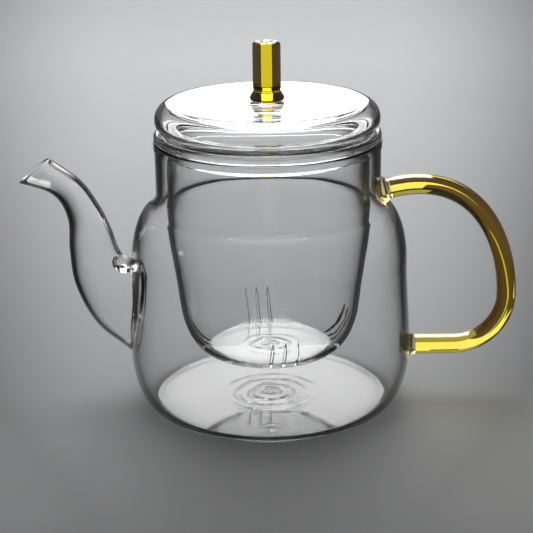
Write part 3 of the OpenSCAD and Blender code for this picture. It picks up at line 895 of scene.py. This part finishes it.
# floor colour with painted light: the ramp darkens it towards the front, the painted field scales it, and
# rays that came through a rod get the painted rod shade instead
def floorColourWithPaintedLight(tree, axes, level, rod):
    depth = ranged(tree, axes.outputs["Y"], stage["depth"], (0, 1), "LINEAR")
    ramp = tree.nodes.new("ShaderNodeValToRGB")
    while len(ramp.color_ramp.elements) < len(stage["ramp"]):
        ramp.color_ramp.elements.new(0.5)
    for stop, (at, grey) in zip(ramp.color_ramp.elements, stage["ramp"]):
        stop.position = at
        stop.color = (*(grey * part for part in stage["paperTint"]), 1)
    tree.links.new(depth, ramp.inputs["Fac"])
    shade = tree.nodes.new("ShaderNodeVectorMath")
    shade.operation = "SCALE"
    tree.links.new(ramp.outputs["Color"], shade.inputs[0])
    tree.links.new(level, shade.inputs["Scale"])
    paintedMix = tree.nodes.new("ShaderNodeMix")
    paintedMix.data_type = "RGBA"
    tree.links.new(rod, paintedMix.inputs[0])
    tree.links.new(shade.outputs["Vector"], paintedMix.inputs[6])
    # painted shade: rays that came through a rod see the floor dark brown, which gives the brown of the
    # rod's sides and bend
    paintedMix.inputs[7].default_value = (*stage["rodPaintedShade"], 1)
    return paintedMix.outputs[2]


def makeFloor():
    material = bpy.data.materials.new("floorPaintedLight")
    material.use_nodes = True
    tree = material.node_tree
    shader = tree.nodes["Principled BSDF"]
    shader.inputs["Roughness"].default_value = stage["floorRough"]
    shader.inputs["Specular IOR Level"].default_value = stage["floorGloss"]
    shader.inputs["Emission Color"].default_value = (1, 1, 1, 1)
    math = sums(tree)
    rays = tree.nodes.new("ShaderNodeLightPath")
    place = tree.nodes.new("ShaderNodeTexCoord")
    axes = tree.nodes.new("ShaderNodeSeparateXYZ")
    tree.links.new(place.outputs["Object"], axes.inputs["Vector"])
    seen, lit = paintedLightField(tree, math, axes)
    level = paintedLightLevel(math, rays, seen, lit)
    colour = floorColourWithPaintedLight(tree, axes, level, behindRod(rays, math))
    tree.links.new(colour, shader.inputs["Base Color"])
    tree.links.new(paintedGlow(tree, math, axes, rays, lit), shader.inputs["Emission Strength"])
    size = (stage["floorSize"], stage["floorSize"])
    stagePlane("floor", material, (0, 0, stage["floorZ"]), (0, 0, 0), size)


def addPanel(name, panel):
    material = bpy.data.materials.new(name)
    material.use_nodes = True
    tree = material.node_tree
    tree.nodes.remove(tree.nodes["Principled BSDF"])
    glow = tree.nodes.new("ShaderNodeEmission")
    rays = tree.nodes.new("ShaderNodeLightPath")
    math = sums(tree)
    rod = behindRod(rays, math)
    through = math("SUBTRACT", rays.outputs["Is Transmission Ray"], rod)
    level = panel["level"]
    for kind, key in ((mirrorRay(rays, math), "mirrored"), (through, "through"), (rod, "rods")):
        level = math("MULTIPLY_ADD", kind, panel[key] - panel["level"], level)
    tree.links.new(level, glow.inputs["Strength"])
    tree.links.new(glow.outputs["Emission"], tree.nodes["Material Output"].inputs["Surface"])
    turn = aimed(panel["place"], panel["aim"]).to_euler()
    plane = stagePlane(name, material, panel["place"], turn, panel["size"])
    plane.visible_camera = plane.visible_shadow = False


# a panel has a level for the light it gives and levels for what mirrors, clear walls and rods show of it;
# a mirrored or through level above the light level is a painted highlight, and a rods level below it is
# painted shade in the rods

backPanel = {
    "place": (0, 1.25, 0.62), "aim": (0, 0, 0.3), "size": (0.56, 0.7),
    "level": 2.8, "mirrored": 2.8, "through": 2.8, "rods": 0.4,
}
topPanel = {
    "place": (0, 0.66, 1.05), "aim": (0, 0.6, 0), "size": (0.7, 1.24),
    "level": 2.6, "mirrored": 16.0, "through": 9.0, "rods": 0.15,
}
frontPanel = {
    "place": (0, -0.2, 1.05), "aim": (0, -0.2, 0), "size": (0.7, 0.48),
    "level": 0.8, "mirrored": 0.8, "through": 0.8, "rods": 0.1,
}

# glowing cards stand and glowing strips lie on the floor, and both show only through the rods: painted
# highlights in the amber, not lamps

farCard = {"x": (-0.088, 0.092), "y": 0.335, "z": (-0.0003, 0.091)}
nearCard = {"x": (0.057, 0.084), "y": 0.045, "z": (-0.0003, 0.0235)}
farStrip = {"x": (-0.088, 0.092), "y": (0.21, 0.335), "lean": 0.0, "level": 1.1}
nearStrip = {"x": (0.055, 0.09), "y": (0, 0.045), "lean": 0.0, "level": 0.3}
bendStrip = {"x": (0.021, 0.033), "y": (0.085, 0.36), "lean": 0.53, "level": 0.55}
makeFloor()
makeCard("farCard", farCard)
makeCard("nearCard", nearCard)
addPanel("backPanel", backPanel)
addPanel("topPanel", topPanel)
addPanel("frontPanel", frontPanel)


def makeSky():
    world = bpy.data.worlds.new("studio")
    bpy.context.scene.world = world
    world.use_nodes = True
    tree = world.node_tree
    sky = tree.nodes["Background"]
    rays = tree.nodes.new("ShaderNodeLightPath")
    math = sums(tree)
    level = math("MULTIPLY_ADD", straightOn(rays, math), stage["surroundLight"], stage["skyLight"])
    level = math("MULTIPLY_ADD", mirrorRay(rays, math), stage["skyMirrored"], level)
    tree.links.new(level, sky.inputs["Strength"])
    sky.inputs["Color"].default_value = (*stage["skyColour"], 1)


def setCamera():
    cameraData = bpy.data.cameras.new("camera")
    cameraData.lens = lens["focal"]
    cameraData.sensor_width = lens["sensor"]
    cameraData.shift_x = lens["shiftPixels"] / lens["picturePixels"]
    cameraData.clip_start, cameraData.clip_end = lens["clip"]
    camera = bpy.data.objects.new("camera", cameraData)
    bpy.context.scene.collection.objects.link(camera)
    camera.location = lens["place"]
    look = aimed(lens["place"], lens["aim"]).to_matrix()
    camera.rotation_euler = (look @ Matrix.Rotation(radians(lens["roll"]), 3, "Z")).to_euler()
    bpy.context.scene.camera = camera


makeSky()
setCamera()

view = bpy.context.scene
view.view_settings.view_transform = "Standard"
view.cycles.use_denoising = True
view.cycles.max_bounces = 32
view.cycles.transmission_bounces = 32
view.cycles.glossy_bounces = 16
view.cycles.diffuse_bounces = 4
view.cycles.transparent_max_bounces = 32
view.cycles.caustics_refractive = False
view.cycles.caustics_reflective = False
print("stage made")
